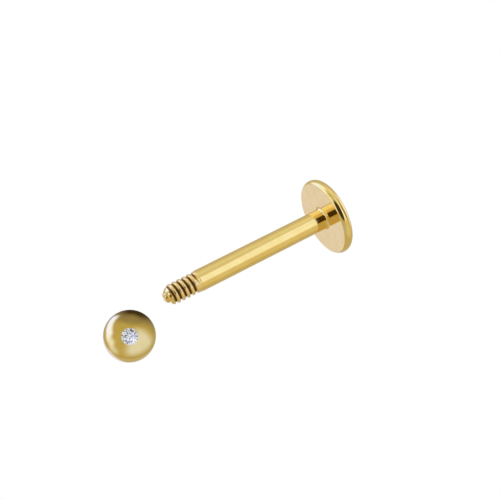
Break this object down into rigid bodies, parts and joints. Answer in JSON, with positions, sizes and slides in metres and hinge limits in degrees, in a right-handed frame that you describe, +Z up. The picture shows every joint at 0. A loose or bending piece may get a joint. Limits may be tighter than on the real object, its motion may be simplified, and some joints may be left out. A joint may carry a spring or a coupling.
{
  "type": "labret stud",
  "caption": "Threaded straight post with a flat round back disc, and a screw-on ball with a flush-set round stone, shown unscrewed.",
  "frame": {"origin": "on the surface that the stud lies on, under the middle of the post and the ball together", "axes": "+Z up from that surface; +X along the post's plan direction, from the thread to the back disc"},
  "size_m": [0.0154, 0.0054, 0.0044],
  "materials": {
    "gold_post": "polished gold plating",
    "gold_ball": "polished gold plating",
    "stone": "clear faceted stone"
  },
  "bodies": {
    "root": {"labret_post": "gold_post", "ball_end": "gold_ball", "stone": "stone"}
  },
  "joints": []
}
